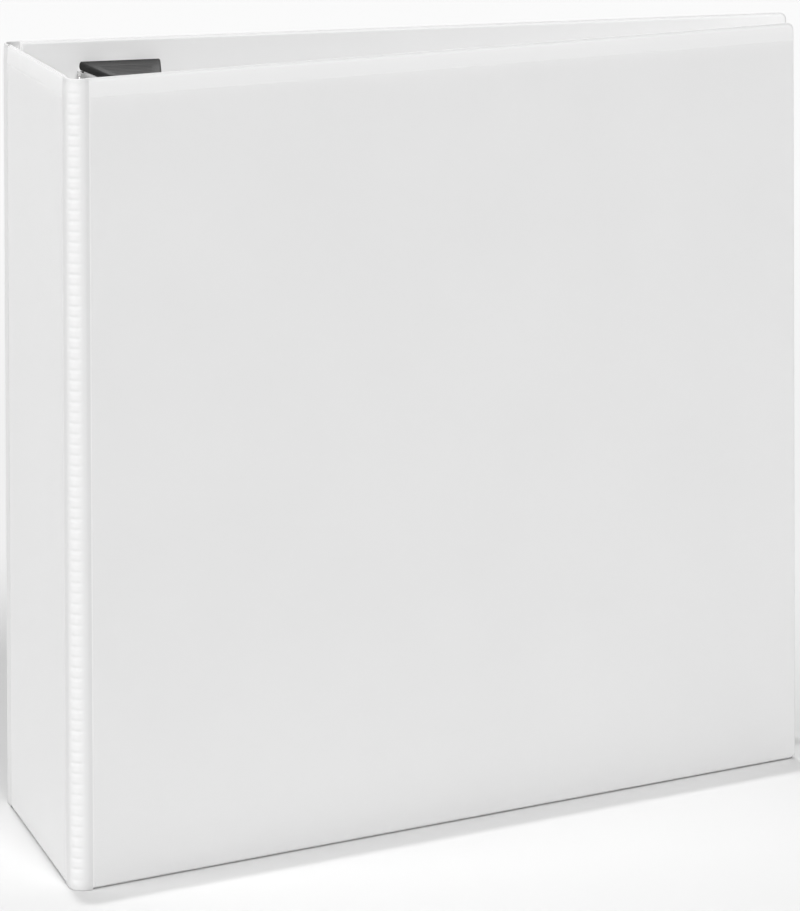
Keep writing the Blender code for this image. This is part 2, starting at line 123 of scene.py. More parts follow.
# Pocket on each lining
POCKET_LIFT = 0.05 * MM
POCKET_SAG = 0.9 * MM
POCKET_WAVE_SIZE = 80 * MM
POCKET_FREE_FROM = 2 * MM
POCKET_FREE_REACH = 40 * MM
POCKET_WELD = 1.5 * MM
POCKET_STEP = 6 * MM
POCKET_ROWS = 40

# Rings
WIRE = 4 * MM
RING_STEM = 12.5 * MM
RING_STEM_BEND = 8 * MM
RING_BOW_HEIGHT = 38 * MM
RING_BOW_RADIUS = 19 * MM
RING_POST = -15.5 * MM
RING_SIDES = 24
TIP_CHAMFER = 0.25 * MM
TIP_STUB_RADIUS = 0.9 * MM
TIP_STUB_LENGTH = 1.1 * MM
TIP_CUP_RADIUS = 1.15 * MM
TIP_CUP_DEPTH = 1.4 * MM

# Rivets and small metal parts: the holes, and how far each kind of sharp edge is rounded
RIVET_HOLE = 2.6 * MM
RIVET_CUTTER = 20 * MM
RIVET_CUTTER_DEPTH = -2 * MM
HOUSING_EDGE = 0.2 * MM
RIVET_EDGE = 0.12 * MM
BLADE_EDGE = 0.1 * MM
ARM_EDGE = 0.15 * MM
PIN_EDGE = 0.25 * MM

# Thumb grips
GRIP_EDGE = 0.9 * MM
GRIP_END_ROWS = (0, 0.07, 0.2, 0.4, 0.65, 0.9)
GRIP_ROW = 0.4 * MM
GRIP_TIP_RADIUS = 4 * MM
GRIP_RECESS = 0.45 * MM
GRIP_RECESS_MARGIN = 3.2 * MM
GRIP_RECESS_START = 11 * MM
GRIP_RIB = 0.35 * MM
GRIP_RIB_PITCH = 2.6 * MM

# Vinyl greys
OUTER_SHADE = 0.83
# Painted shade: the welded hinge vinyl is a darker grey than the outer vinyl, against the light its rounded face
# catches
WELDED_GREY_PAINTED_SHADE = 0.725
# Painted light: the lining is a lighter grey than the outer vinyl, to make up for the shade inside the binder
LINING_GREY_PAINTED_LIGHT = 0.88
# Painted shade: grey for the free edges, darker to hold down the light the lamps put on them
RIM_PAINTED_SHADE = 0.66
# Painted shade: grey for vinyl faces that look up, which the lamps above light more than the sides
TOP_PAINTED_SHADE = 0.56

# Camera and light; each lamp is (strength, apparent size, elevation, azimuth from the front), in degrees
CAMERA_PLACE = (-0.342667, -1.616888, 0.503280)
CAMERA_PITCH = 0.0200
CAMERA_YAW = -0.2922
CAMERA_ROLL = -0.0038
SENSOR = 36
FOCAL_LENGTH = 172.75
CAMERA_SHIFT = -0.9366
FLOOR_SIZE = 24
FLOOR_CENTRE = (0.16, 0, 0)
# Painted shade: the floor is a darker grey near the binder and lighter further off, against the light the binder
# throws onto it
FLOOR_RAMP = (0.2, 1.6)
FLOOR_NEAR_PAINTED_SHADE = 0.62
FLOOR_FAR = 0.72
SKY_LIGHT = 0.1
SKY_SEEN = 0.93
SOFTBOX = (2.07, 20, 45, -2)
FILL = (1.85, 35, 33, 75)
BACKLIGHT = (1.2, 35, 35, 195)
OVERHEAD_STRENGTH = 1.3
OVERHEAD_SIZE = 1.2
OVERHEAD_TILT = (-3.2, 0)


def smooth_step(value):
    part = min(max(value, 0), 1)
    return part * part * (3 - 2 * part)


def between(low, high, part):
    return low + (high - low) * part


def reach(node, direction, origin):
    """How far a CAD node reaches from origin along a direction: lowest and highest distance."""
    spots = [(vertex.co - origin).dot(direction) for vertex in frame["nodes"][node].data.vertices]
    return min(spots), max(spots)


class Panel:
    """A stiff panel in its own axes: s along it from the spine corner, t in from its outer face, z up."""

    def __init__(self, name, body, ahead):
        face = MOUNTS["spine_face" if name == "spine" else f"{name}_cover_face"]
        self.name = name
        self.body = body
        self.inward = -Vector(face["axis"]).normalized()
        self.along = self.inward.cross(UP)
        if self.along.dot(Vector(ahead)) < 0:
            self.along.negate()
        spot = Vector(face["pos_m"])
        if name != "spine":
            spot -= self.along * ((spot.x - MOUNTS["spine_face"]["pos_m"][0]) / self.along.x)
        self.corner = Vector((spot.x, spot.y, 0))
        self.start, self.end = self.span(f"{name}_outer_skin", self.along)
        self.face, self.back_face = self.span(f"{name}_outer_skin", self.inward)
        self.low, self.top = self.span(f"{name}_outer_skin", UP)
        self.middle = (self.face + self.back_face) / 2
        self.fore_radius = HINGE_CORNER if name == "spine" else FORE_CORNER

    def span(self, node, direction):
        return reach(node, direction, self.corner)

    def at(self, s, t, z):
        return self.corner + self.along * s + self.inward * t + UP * z

    def outline(self, inset):
        """The panel's outline as (s, z) points, its fore-edge corners rounded, drawn in by inset."""
        low_s, high_s = self.start + inset, self.end - inset
        low_z, high_z = self.low + inset, self.top - inset
        hinge = max(HINGE_CORNER - inset, LEAST_RADIUS)
        fore = max(self.fore_radius - inset, LEAST_RADIUS)
        corners = (
            (low_s, low_z, hinge, 1, 1, math.pi),
            (high_s, low_z, fore, -1, 1, 1.5 * math.pi),
            (high_s, high_z, fore, -1, -1, 0),
            (low_s, high_z, hinge, 1, -1, math.pi / 2),
        )
        points = []
        for s, z, radius, side_s, side_z, start in corners:
            if side_z < 0 and side_s < 0:
                points += [(high_s, height) for height in self.side_heights(inset + fore)]
            for k in range(CORNER_STEPS + 1):
                angle = start + math.pi / 2 * k / CORNER_STEPS
                points.append(
                    (
                        s + side_s * radius + radius * math.cos(angle),
                        z + side_z * radius + radius * math.sin(angle),
                    )
                )
        points += [(low_s, height) for height in reversed(self.side_heights(inset + hinge))]
        return points

    def side_heights(self, corner):
        """Heights of the points up a side, below the corner, close together where the shoulder bends."""
        count = len(SHOULDER_STEPS)
        return [
            self.top - max(step * MM, corner + (count - k) * LEAST_STEP)
            for k, step in enumerate(SHOULDER_STEPS)
        ]

    def shoulder(self, z):
        """How far the vinyl falls back towards the panel's top edge, where it rolls over the board."""
        part = max(1 - (self.top - z) / SHOULDER_REACH, 0)
        return SHOULDER * part * part

    def skin_depth(self, inset):
        """Depth of the outer vinyl's surface, from the flat over the board down to the weld bead."""
        bead = self.middle - BEAD_HALF
        part = min(max((BEAD_WIDTH + EDGE_ROUND - inset) / EDGE_ROUND, 0), 1)
        return between(self.face, bead, 1 - math.sqrt(1 - part * part))


def make_object(name, bm, finish, smooth_under=SHARP_ANGLE):
    """An object from a bmesh, shaded smooth but for edges sharper than smooth_under degrees."""
    bmesh.ops.recalc_face_normals(bm, faces=bm.faces)
    mesh = bpy.data.meshes.new(name)
    bm.to_mesh(mesh)
    bm.free()
    mesh.shade_smooth()
    mesh.set_sharp_from_angle(angle=math.radians(smooth_under))
    piece = bpy.data.objects.new(name, mesh)
    bpy.context.scene.collection.objects.link(piece)
    mesh.materials.append(finish)
    return piece


def stand_for(piece, slot, *nodes):
    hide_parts(*nodes)


def apply_cut(piece, cutter):
    """Cuts the cutter out of the piece for good and removes the cutter."""
    cut = piece.modifiers.new("cut", "BOOLEAN")
    cut.operation = "DIFFERENCE"
    cut.solver = "EXACT"
    cut.object = cutter
    bpy.context.view_layer.update()
    evaluated = piece.evaluated_get(bpy.context.evaluated_depsgraph_get())
    mesh = bpy.data.meshes.new_from_object(evaluated)
    mesh.set_sharp_from_angle(angle=math.radians(SHARP_ANGLE))
    piece.modifiers.clear()
    piece.data = mesh
    bpy.data.objects.remove(cutter, do_unlink=True)


# ---------------------------------------------------------------- materials


class Graph:
    """A Principled material whose nodes are added and linked by short calls."""

    def __init__(self, name):
        self.material = bpy.data.materials.new(name)
        self.material.use_nodes = True
        self.tree = self.material.node_tree
        self.shader = self.tree.nodes["Principled BSDF"]
        self.place = self.add("ShaderNodeTexCoord").outputs["Object"]

    def add(self, kind, **settings):
        node = self.tree.nodes.new(kind)
        for key, value in settings.items():
            setattr(node, key, value)
        return node

    def put(self, node, socket, value):
        if isinstance(value, bpy.types.NodeSocket):
            self.tree.links.new(value, node.inputs[socket])
        else:
            node.inputs[socket].default_value = value

    def noise(self, size, detail=2.0, stretch=(1, 1, 1)):
        """Noise with blobs of about this size, stretched along the axes."""
        mapping = self.add("ShaderNodeMapping")
        self.put(mapping, "Vector", self.place)
        self.put(mapping, "Scale", [1 / (size * k) for k in stretch])
        texture = self.add("ShaderNodeTexNoise")
        self.put(texture, "Vector", mapping.outputs["Vector"])
        self.put(texture, "Scale", 1.0)
        self.put(texture, "Detail", detail)
        return texture.outputs["Fac"]

    def cells(self, size):
        """Distance to the nearest of scattered points, for pebbled grain."""
        texture = self.add("ShaderNodeTexVoronoi")
        self.put(texture, "Vector", self.place)
        self.put(texture, "Scale", 1 / size)
        return texture.outputs["Distance"]

    def ranged(self, value, low, high, start=0.3, stop=0.7):
        node = self.add("ShaderNodeMapRange")
        self.put(node, "Value", value)
        self.put(node, "From Min", start)
        self.put(node, "From Max", stop)
        self.put(node, "To Min", low)
        self.put(node, "To Max", high)
        return node.outputs["Result"]

    def maths(self, operation, first, second):
        node = self.add("ShaderNodeMath", operation=operation)
        self.put(node, 0, first)
        self.put(node, 1, second)
        return node.outputs["Value"]

    def blend(self, part, first, second):
        node = self.add("ShaderNodeMix", data_type="RGBA")
        self.put(node, "Factor", part)
        self.put(node, "A", (*first, 1) if isinstance(first, tuple) else first)
        self.put(node, "B", (*second, 1) if isinstance(second, tuple) else second)
        return node.outputs["Result"]

    def bump(self, height, distance, normal=None):
        node = self.add("ShaderNodeBump")
        self.put(node, "Height", height)
        self.put(node, "Distance", distance)
        if normal:
            self.put(node, "Normal", normal)
        return node.outputs["Normal"]

    def attribute(self, name):
        return self.add("ShaderNodeAttribute", attribute_name=name).outputs["Fac"]

    def finish(self, color, roughness, normal, metallic=0.0):
        self.put(self.shader, "Base Color", color)
        self.put(self.shader, "Roughness", roughness)
        self.put(self.shader, "Normal", normal)
        self.put(self.shader, "Metallic", metallic)
        return self.material


def grey(value, warmth=0.0):
    return (value * (1 + warmth), value, value * (1 - warmth))


def vinyl(name, value, grain, grain_height, roughness):
    """Calendered vinyl: fine pebbled grain, faint clouding and scuffed edges, with painted shade on its free edges
    and on faces that look up.
    """
    graph = Graph(name)
    clouds = graph.noise(70 * MM, 2)
    rubbed = graph.ranged(graph.noise(3 * MM, 2), 0, 1, 0.5, 0.72)
    scuffs = graph.maths("MULTIPLY", graph.attribute("rim"), rubbed)
    color = graph.blend(graph.ranged(clouds, 0, 1), grey(value * 0.985), grey(value))
    color = graph.blend(scuffs, color, grey(value * 0.86, 0.01))
    # The hinge film's inner side takes the lining's grey, which is painted lighter
    color = graph.blend(graph.attribute("lined"), color, grey(LINING_GREY_PAINTED_LIGHT))
    facing = graph.add("ShaderNodeSeparateXYZ")
    graph.put(facing, "Vector", graph.add("ShaderNodeNewGeometry").outputs["Normal"])
    # Painted shade: the free edges are painted a darker grey, against the light the lamps put on them
    color = graph.blend(graph.attribute("rim"), color, grey(RIM_PAINTED_SHADE))
    # Painted shade: faces that look up are painted a darker grey, to hold down the light the lamps above put on
    # them
    color = graph.blend(graph.ranged(facing.outputs["Z"], 0, 1, 0.1, 0.8), color, grey(TOP_PAINTED_SHADE))
    graph.put(graph.shader, "Specular IOR Level", 0.25)
    sheen = graph.ranged(graph.noise(4 * MM, 1), roughness - 0.05, roughness + 0.05)
    rough = graph.maths("ADD", sheen, scuffs)
    pebbles = graph.bump(graph.cells(grain), grain_height)
    normal = graph.bump(graph.noise(9 * MM, 1), 0.02 * MM, pebbles)
    return graph.finish(color, rough, normal)


def clear_film(name, tint, haze, roughness):
    """Clear plastic film: lets the surface behind show, a little greyer, with a soft sheen and faint haze."""
    graph = Graph(name)
    smears = graph.ranged(graph.noise(45 * MM, 1), 0, 1)
    through = graph.add("ShaderNodeBsdfTransparent")
    tinted = graph.blend(smears, grey(tint * 0.998), grey(tint))
    graph.put(through, "Color", graph.blend(graph.attribute("mouth"), tinted, grey(0.998)))
    ripples = graph.bump(graph.noise(6 * MM, 1), 0.015 * MM)
    graph.finish((*grey(0.9), 1), graph.ranged(smears, roughness, roughness * 1.5, 0, 1), ripples)
    edge = graph.add("ShaderNodeLayerWeight")
    graph.put(edge, "Blend", 0.15)
    share = graph.maths("ADD", graph.maths("MULTIPLY", edge.outputs["Facing"], 0.12), haze)
    mixed = graph.add("ShaderNodeMixShader")
    graph.put(mixed, "Fac", share)
    graph.put(mixed, 1, through.outputs["BSDF"])
    graph.put(mixed, 2, graph.shader.outputs["BSDF"])
    output = graph.tree.nodes["Material Output"]
    graph.put(output, "Surface", mixed.outputs["Shader"])
    return graph.material


def plated(name, value, roughness):
    """Bright nickel plate: fine drawing lines, handling marks and slightly uneven polish."""
    graph = Graph(name)
    marks = graph.noise(5 * MM, 5)
    lines = graph.noise(0.25 * MM, 2, (1, 1, 60))
    color = graph.blend(graph.ranged(marks, 0, 1), grey(value * 0.93, 0.006), grey(value, 0.003))
    rough = graph.ranged(graph.noise(11 * MM, 4), roughness * 0.75, roughness * 1.4)
    normal = graph.bump(graph.noise(22 * MM, 2), 0.03 * MM, graph.bump(lines, 0.0012 * MM))
    return graph.finish(color, rough, normal, 1.0)


def spring_steel(name, value):
    """Rolled spring steel: brushed along its length, with dull patches."""
    graph = Graph(name)
    brushing = graph.noise(0.18 * MM, 3, (1, 1, 90))
    patches = graph.ranged(graph.noise(9 * MM, 4), 0, 1)
    color = graph.blend(patches, grey(value * 0.85, 0.01), grey(value))
    return graph.finish(color, graph.ranged(patches, 0.3, 0.46, 0, 1), graph.bump(brushing, 0.004 * MM), 1.0)


def moulded_plastic(name):
    """Black moulded plastic: spark-eroded texture, worn a little shinier and greyer along its edges."""
    graph = Graph(name)
    edges = graph.ranged(graph.add("ShaderNodeNewGeometry").outputs["Pointiness"], 0, 1, 0.51, 0.6)
    worn = graph.maths("MULTIPLY", edges, graph.ranged(graph.noise(2 * MM, 4), 0.2, 1))
    color = graph.blend(worn, grey(0.008), grey(0.04))
    color = graph.blend(graph.ranged(graph.noise(12 * MM, 2), 0, 0.3), color, grey(0.015, 0.02))
    graph.put(graph.shader, "Specular IOR Level", 0.1)
    rough = graph.ranged(worn, 0.6, 0.42, 0, 1)
    return graph.finish(color, rough, graph.bump(graph.cells(0.16 * MM), 0.02 * MM))


def greyboard(name):
    """Solid greyboard made of waste paper: mixed fibres and specks."""
    graph = Graph(name)
    fibres = graph.noise(0.5 * MM, 5, (1, 1, 4))
    specks = graph.ranged(graph.cells(1.6 * MM), 1, 0, 0.05, 0.12)
    color = graph.blend(graph.ranged(fibres, 0, 1), (0.36, 0.34, 0.31), (0.48, 0.46, 0.42))
    color = graph.blend(graph.maths("MULTIPLY", specks, 0.5), color, (0.16, 0.15, 0.14))
    return graph.finish(color, 0.9, graph.bump(fibres, 0.05 * MM))


def paper_floor(name):
    graph = Graph(name)
    distance = graph.add("ShaderNodeVectorMath", operation="DISTANCE")
    graph.put(distance, 0, graph.place)
    graph.put(distance, 1, FLOOR_CENTRE)
    # Painted shade: darker near the binder, where it lights the floor, lighter further away
    away = graph.ranged(distance.outputs["Value"], 0, 1, *FLOOR_RAMP)
    clouds = graph.ranged(graph.noise(400 * MM, 1), 0.995, 1)
    color = graph.blend(away, grey(FLOOR_NEAR_PAINTED_SHADE), grey(FLOOR_FAR))
    color = graph.blend(clouds, grey(0.7), color)
    return graph.finish(color, 0.9, graph.bump(graph.noise(0.6 * MM, 1), 0.01 * MM))


VINYL = vinyl("white_vinyl", OUTER_SHADE, 0.5 * MM, 0.002 * MM, 0.5)
# The lining vinyl's grey is painted lighter, against the shade inside the binder
LINING = vinyl("lining_vinyl", LINING_GREY_PAINTED_LIGHT, 0.55 * MM, 0.006 * MM, 0.55)
# The welded vinyl's grey is painted darker, against the light the rounded hinge catches
WELDED = vinyl("welded_vinyl", WELDED_GREY_PAINTED_SHADE, 0.5 * MM, 0.002 * MM, 0.5)
CLEAR = clear_film("clear_film", 0.988, 0.02, 0.16)
POCKET = clear_film("pocket_film", 0.985, 0.12, 0.3)
NICKEL = plated("nickel_plate", 0.74, 0.16)
STEEL = spring_steel("spring_steel", 0.42)
PLASTIC = moulded_plastic("black_plastic")
BOARD = greyboard("greyboard")


# ---------------------------------------------------------------- covers


def rolled(panel, depth):
    """Share of the shoulder at a depth: all of it on the outer face, none from the weld bead inwards."""
    return min(max((panel.middle - BEAD_HALF - depth) / (panel.middle - BEAD_HALF - panel.face), 0), 1)


def rim_share(panel, s, inset):
    """Share of the scuffs and of the painted edge shade: 1 along the outline of the free edges, 0 on the flat and
    where the panel meets a hinge film.
    """
    share = smooth_step(1 - inset / (BEAD_WIDTH + EDGE_ROUND)) * smooth_step((s - panel.start) / RIM_FADE)
    if panel.name == "spine":
        share *= smooth_step((panel.end - s) / RIM_FADE)
    return share


def rim_shell(panel, name, profile, finish):
    """A closed sheet as wide as the panel. profile gives (inset, depth) from the middle of one face over
    the rim to the middle of the other; the rim attribute tells the material where the edge is, for its scuffs and
    painted shade."""
    bm = bmesh.new()
    rim = bm.verts.layers.float.new("rim")
    loops = []
    for inset, depth in profile:
        loop = []
        for s, z in panel.outline(inset):
            fall = panel.shoulder(z) * rolled(panel, depth)
            vertex = bm.verts.new(panel.at(s, depth + fall, z))
            vertex[rim] = rim_share(panel, s, inset)
            loop.append(vertex)
        loops.append(loop)
    for first, second in zip(loops, loops[1:]):
        for k in range(len(first)):
            bm.faces.new((first[k - 1], first[k], second[k], second[k - 1]))
    bm.faces.new(loops[0])
    bm.faces.new(loops[-1])
    return make_object(name, bm, finish)


def skin_profile(panel, mirrored):
    """Half of the welded sleeve: over the board, down its edge and out to the bead's rim."""
    face, middle = panel.face, panel.middle
    bead_face = middle - BEAD_HALF
    flat = BEAD_WIDTH + EDGE_ROUND
    quarter = [math.pi / 2 * k / EDGE_STEPS for k in range(EDGE_STEPS + 1)]
    profile = [(inset * MM, face) for inset in FLAT_LOOPS]
    for angle in quarter:
        inset = flat - EDGE_ROUND * math.sin(angle)
        profile.append((inset, between(face, bead_face, 1 - math.cos(angle))))
    profile.append((BEAD_WIDTH * 0.7, bead_face - BEAD_LIP))
    for angle in quarter:
        depth = middle - SHEET_GAP - BEAD_HALF * math.cos(angle)
        profile.append((BEAD_HALF * (1 - math.sin(angle)), depth))
    inside = face + SHEET
    for angle in reversed(quarter):
        inset = flat + INNER_EDGE_GAP - (EDGE_ROUND - SHEET) * math.sin(angle)
        profile.append((inset, between(inside, middle - SHEET_GAP, 1 - math.cos(angle))))
    profile += [(inset * MM, inside) for inset in reversed(FLAT_LOOPS)]
    if mirrored:
        return [(inset, 2 * middle - depth) for inset, depth in profile]
    return profile


def add_board(panel):
    near, far = panel.span(f"{panel.name}_board", panel.inward)
    inner = BOARD_INSET + 4 * BOARD_EDGE
    profile = [
        (inner, near),
        (BOARD_INSET + BOARD_EDGE, near),
        (BOARD_INSET, near + BOARD_EDGE),
        (BOARD_INSET, far - BOARD_EDGE),
        (BOARD_INSET + BOARD_EDGE, far),
        (inner, far),
    ]
    board = rim_shell(panel, f"{panel.name}_greyboard", profile, BOARD)
    stand_for(board, "greyboard", f"{panel.name}_board")
    return board


def graded(low, high, spacing):
    """Places from low to high, close together near both ends and spacing apart in the middle."""
    near = [low + step * MM for step in BORDER_STEPS]
    far = [high - step * MM for step in reversed(BORDER_STEPS)]
    count = max(int((far[0] - near[-1]) / spacing), 1)
    middle = [between(near[-1], far[0], k / count) for k in range(1, count)]
    return near + middle + far


def sheet(name, columns, rows, surface, thickness, finish):
    """A thin closed sheet: surface(a, b) gives a point of its outer side and the direction inwards."""
    bm = bmesh.new()
    outer = []
    inner = []
    for b in rows:
        spots = [surface(a, b) for a in columns]
        outer.append([bm.verts.new(spot) for spot, inward in spots])
        inner.append([bm.verts.new(spot + inward * thickness) for spot, inward in spots])
    last_row, last_column = len(rows) - 1, len(columns) - 1
    for grid in (outer, inner):
        for j in range(last_row):
            for i in range(last_column):
                bm.faces.new((grid[j][i], grid[j][i + 1], grid[j + 1][i + 1], grid[j + 1][i]))
    border = [(0, i) for i in range(last_column)]
    border += [(j, last_column) for j in range(last_row)]
    border += [(last_row, i) for i in range(last_column, 0, -1)]
    border += [(j, 0) for j in range(last_row, 0, -1)]
    for (j, i), (next_j, next_i) in zip(border, border[1:] + border[:1]):
        bm.faces.new((outer[j][i], outer[next_j][next_i], inner[next_j][next_i], inner[j][i]))
    return make_object(name, bm, finish)


def weld(distance):
    """Depth of a pressed weld line at this distance from its middle."""
    return WELD_DEPTH * math.exp(-((distance / WELD_WIDTH) ** 2))


def add_clear_overlay(panel):
    """The clear pocket: welded down its sides and foot, loose and slightly lifted at its mouth."""
    node = f"{panel.name}_clear_overlay"
    left, right = panel.span(node, panel.along)
    foot, mouth = panel.span(node, UP)
    left = max(left, panel.start + HINGE_CLEARANCE)
    if panel.name == "spine":
        right = min(right, panel.end - HINGE_CLEARANCE)
    fore_weld = HINGE_CLEARANCE + HINGE_WELD if panel.name == "spine" else FORE_EDGE_WELD

    def surface(s, z):
        inset = min(s - panel.start, panel.end - s, z - panel.low)
        depth = panel.skin_depth(inset) - FILM - FILM_GAP
        free = smooth_step((min(s - left, right - s, z - foot) - FILM_FREE_FROM) / FILM_FREE_REACH)
        wave = noise.noise(panel.at(s, 0, z) / FILM_WAVE_SIZE) + 0.5
        depth -= FILM_WAVE * free * wave
        depth -= MOUTH_LIFT * free * math.exp(-(mouth - z) / MOUTH_LIFT_REACH)
        depth += weld(s - left - HINGE_WELD)
        depth += weld(panel.end - s - fore_weld)
        depth += weld(z - panel.low - FOOT_WELD)
        return panel.at(s, depth, z), panel.inward

    columns = graded(left, right, FILM_STEP)
    rows = graded(foot, mouth, FILM_STEP)
    film = sheet(f"{panel.name}_clear_pocket", columns, rows, surface, FILM, CLEAR)
    edge = film.data.attributes.new("mouth", "FLOAT", "POINT")
    for vertex, value in zip(film.data.vertices, edge.data):
        value.value = math.exp(-((mouth - vertex.co.z) / MOUTH_FADE))
    stand_for(film, "clear_film", node)
    return film


def add_lining_pocket(panel):
    """The pocket inside a cover: welded at its sides and foot, its slanting mouth hanging a little open."""
    node = f"{panel.name}_lining_pocket"
    left, right = panel.span(node, panel.along)
    foot, high = panel.span(node, UP)
    spots = [vertex.co for vertex in frame["nodes"][node].data.vertices]
    low = max(spot.z for spot in spots if (spot - panel.corner).dot(panel.along) < left + MM)
    face = panel.back_face + POCKET_LIFT

    def surface(s, part):
        across = (s - left) / (right - left)
        mouth = between(low, high, across)
        z = between(foot, mouth, part)
        edge = min(s - left, right - s, z - foot)
        free = smooth_step((edge - POCKET_FREE_FROM) / POCKET_FREE_REACH)
        wave = 0.25 * noise.noise(panel.at(s, 0, z) / POCKET_WAVE_SIZE)
        depth = face + POCKET_SAG * free * (0.25 + 0.75 * part**3 + wave)
        if edge > FILM:
            depth -= 0.4 * weld(edge - POCKET_WELD)
        return panel.at(s, depth, z), panel.inward

    columns = graded(left, right, POCKET_STEP)
    rows = [k / POCKET_ROWS for k in range(POCKET_ROWS + 1)]
    pocket = sheet(f"{panel.name}_inner_pocket", columns, rows, surface, FILM, POCKET)
    stand_for(pocket, "pocket_film", node)
    return pocket


def add_panel(panel):
    name = panel.name
    skin = rim_shell(panel, f"{name}_vinyl", skin_profile(panel, False), VINYL)
    stand_for(skin, "white_vinyl", f"{name}_outer_skin")
    lining = rim_shell(panel, f"{name}_inner_vinyl", skin_profile(panel, True), LINING)
    stand_for(lining, "lining_vinyl", f"{name}_lining")
    pieces = [skin, lining, add_board(panel), add_clear_overlay(panel)]
    if name != "spine":
        pieces.append(add_lining_pocket(panel))
    for piece in pieces:
        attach(piece, panel.body)
    return pieces


# ---------------------------------------------------------------- hinge films


def corner_path(spine, cover):
    """The outer line round one spine corner, as (point, inward direction, length so far) in plan."""
    side = side_sign(cover)
    turn = spine.inward.angle(cover.inward)
    tangent = HINGE_RADIUS * math.tan(turn / 2)
    spine_end = abs(spine.end)
    reach_spine = abs(cover.corner.y) - spine_end + HINGE_LAP
    reach_cover = cover.start + HINGE_LAP
    along_spine = Vector((0, -side, 0))
    first = max(int((reach_spine - tangent) / HINGE_STEP), 2)
    bends = int(turn * HINGE_RADIUS / HINGE_STEP)
    last = max(int((reach_cover - tangent) / HINGE_STEP), 2)
    path = []
    for k in range(first):
        distance = between(reach_spine, tangent, k / first)
        path.append((cover.corner + along_spine * distance, spine.inward, reach_spine - distance))
    length = reach_spine - tangent
    centre = cover.corner + along_spine * tangent + spine.inward * HINGE_RADIUS
    for k in range(bends):
        angle = turn * k / bends
        inward = (Matrix.Rotation(-side * angle, 3, "Z") @ spine.inward).normalized()
        path.append((centre - inward * HINGE_RADIUS, inward, length + angle * HINGE_RADIUS))
    middle = length + turn * HINGE_RADIUS / 2
    length += turn * HINGE_RADIUS
    for k in range(last + 1):
        distance = between(tangent, reach_cover, k / last)
        path.append((cover.corner + cover.along * distance, cover.inward, length + distance - tangent))
    return path, middle


def add_hinge_film(spine, cover):
    """The ribbed weld on which the real cover folds: two vinyl sheets pressed together, with no board. It is built
    in place at rest and attached to no body.
    """
    path, middle = corner_path(spine, cover)
    total = path[-1][2]
    low, top = cover.low, cover.top
    ends = [low + step * MM for step in HINGE_END_ROWS]
    count = int((top - low) / HINGE_ROW)
    rows = ends + [between(ends[-1], low + top - ends[-1], k / count) for k in range(1, count)]
    rows += [low + top - z for z in reversed(ends)]
    bm = bmesh.new()
    rim = bm.verts.layers.float.new("rim")
    lined = bm.verts.layers.float.new("lined")
    loops = []
    for z in rows:
        end = min(z - low, top - z)
        rounding = max(1 - end / BEAD_HALF, 0)
        half = BEAD_HALF * max(math.sqrt(1 - rounding * rounding), 0.25)
        rib = max(math.cos(2 * math.pi * (z - low) / RIB_PITCH), 0) ** 2 * smooth_step(end / MM - 2)
        rib *= 1 + 0.5 * noise.noise(Vector((0, side_sign(cover), z / (7 * MM))))
        outer = []
        inner = []
        for spot, inward, length in path:
            off = abs(length - middle)
            top_depth = HINGE_DEPTH + BEAD_HALF - half
            top_depth -= HINGE_RIDGE * math.exp(-(((off - HINGE_RIDGE_PLACE) / HINGE_RIDGE_WIDTH) ** 2))
            lap = HINGE_LAP - min(length, total - length)
            under = HINGE_DEPTH + BEAD_HALF + half
            if lap > -LAP_GAP:
                under = min(under, cover.skin_depth(max(lap, 0)) - LAP_GAP)
            under += cover.shoulder(z)
            top_depth = min(top_depth + cover.shoulder(z), under - LAP_EDGE)
            press = RIB_DEPTH * smooth_step(1.6 - off / RIB_REACH * 1.6)
            press += DENT_DEPTH * smooth_step(1.5 - off / DENT_REACH)
            outer.append(spot + inward * min(top_depth + press * rib, under - LAP_EDGE))
            inner.append(spot + inward * under)
        loop = []
        for k, spot in enumerate(outer + inner[::-1]):
            vertex = bm.verts.new((spot.x, spot.y, z))
            # The film's ends near its top and foot get the scuffs and the painted edge shade
            vertex[rim] = smooth_step(1 - end / (3 * MM))
            vertex[lined] = 0 if k < len(outer) else 1
            loop.append(vertex)
        loops.append(loop)
    for first, second in zip(loops, loops[1:]):
        for k in range(len(first)):
            bm.faces.new((first[k - 1], first[k], second[k], second[k - 1]))
    bm.faces.new(loops[0])
    bm.faces.new(loops[-1])
    film = make_object(f"{cover.name}_ribbed_hinge", bm, WELDED)
    stand_for(film, "welded_film", f"{cover.name}_hinge_film")
    spine.body
    cover.body
    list(blend_ends(spine, cover))
    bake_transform(film)
    return film


def side_sign(cover):
    return 1 if cover.corner.y > 0 else -1


def blend_ends(spine, cover):
    """Where the film stops following the spine and where it starts to follow the cover."""
    tangent = HINGE_RADIUS * math.tan(spine.inward.angle(cover.inward) / 2)
    along_spine = Vector((0, -side_sign(cover), 0))
    return cover.corner + along_spine * tangent, cover.corner + cover.along * tangent


# ---------------------------------------------------------------- mechanism


class Mechanism:
    """The ring mechanism's own axes: x to the spine, y off the cover's inner face, z up, from its middle."""

    def __init__(self, back):
        low_s, high_s = back.span("ring_housing", back.along)
        low_z, high_z = back.span("ring_housing", UP)
        self.back = back
        self.origin = back.at((low_s + high_s) / 2, back.back_face, (low_z + high_z) / 2)
        self.x = -back.along
        self.y = back.inward

    def at(self, x, y, z):
        return self.origin + self.x * x + self.y * y + UP * z

    def span(self, node, direction):
        return reach(node, direction, self.origin)


